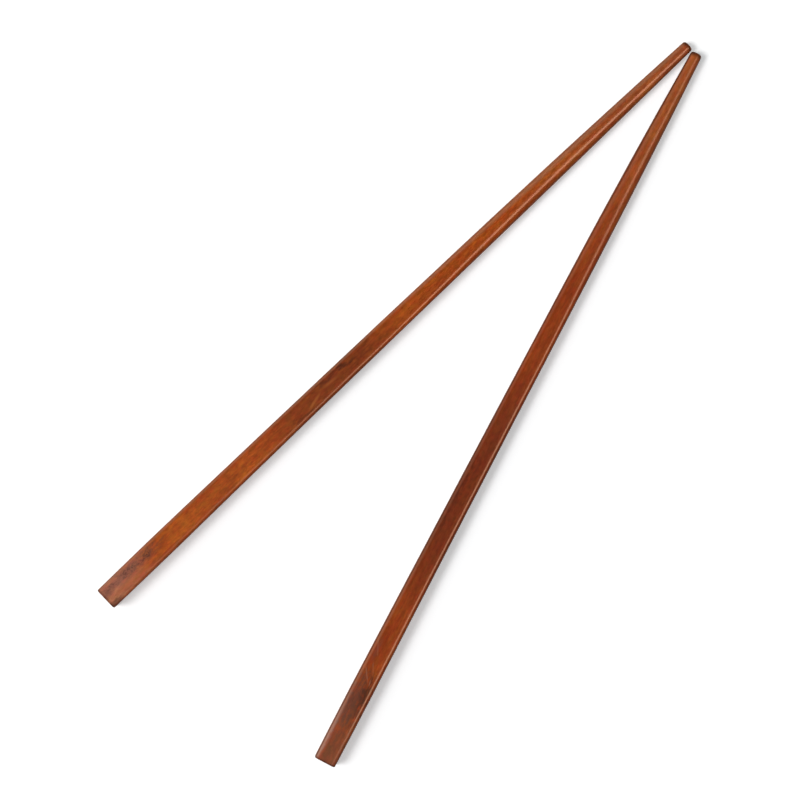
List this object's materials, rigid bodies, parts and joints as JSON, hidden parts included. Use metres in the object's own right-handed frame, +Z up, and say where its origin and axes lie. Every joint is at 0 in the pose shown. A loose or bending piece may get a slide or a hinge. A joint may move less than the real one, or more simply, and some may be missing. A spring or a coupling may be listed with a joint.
{
  "type": "pair of wooden chopsticks",
  "caption": "Wooden chopsticks with softened square handles and rounded eating ends, in worn reddish-brown varnish, lying flat with their tips together.",
  "frame": {"origin": "on the table, under the middle of the box round both sticks", "axes": "+Z up from the table, +Y along the middle of the spread from the butts to the tips, +X to the right seen from above with the tips pointing up"},
  "size_m": [0.0882, 0.2376, 0.0075],
  "materials": {
    "left_wood": "satin varnish",
    "right_wood": "satin varnish"
  },
  "bodies": {
    "root": {"left_chopstick": "left_wood", "right_chopstick": "right_wood"}
  },
  "joints": []
}
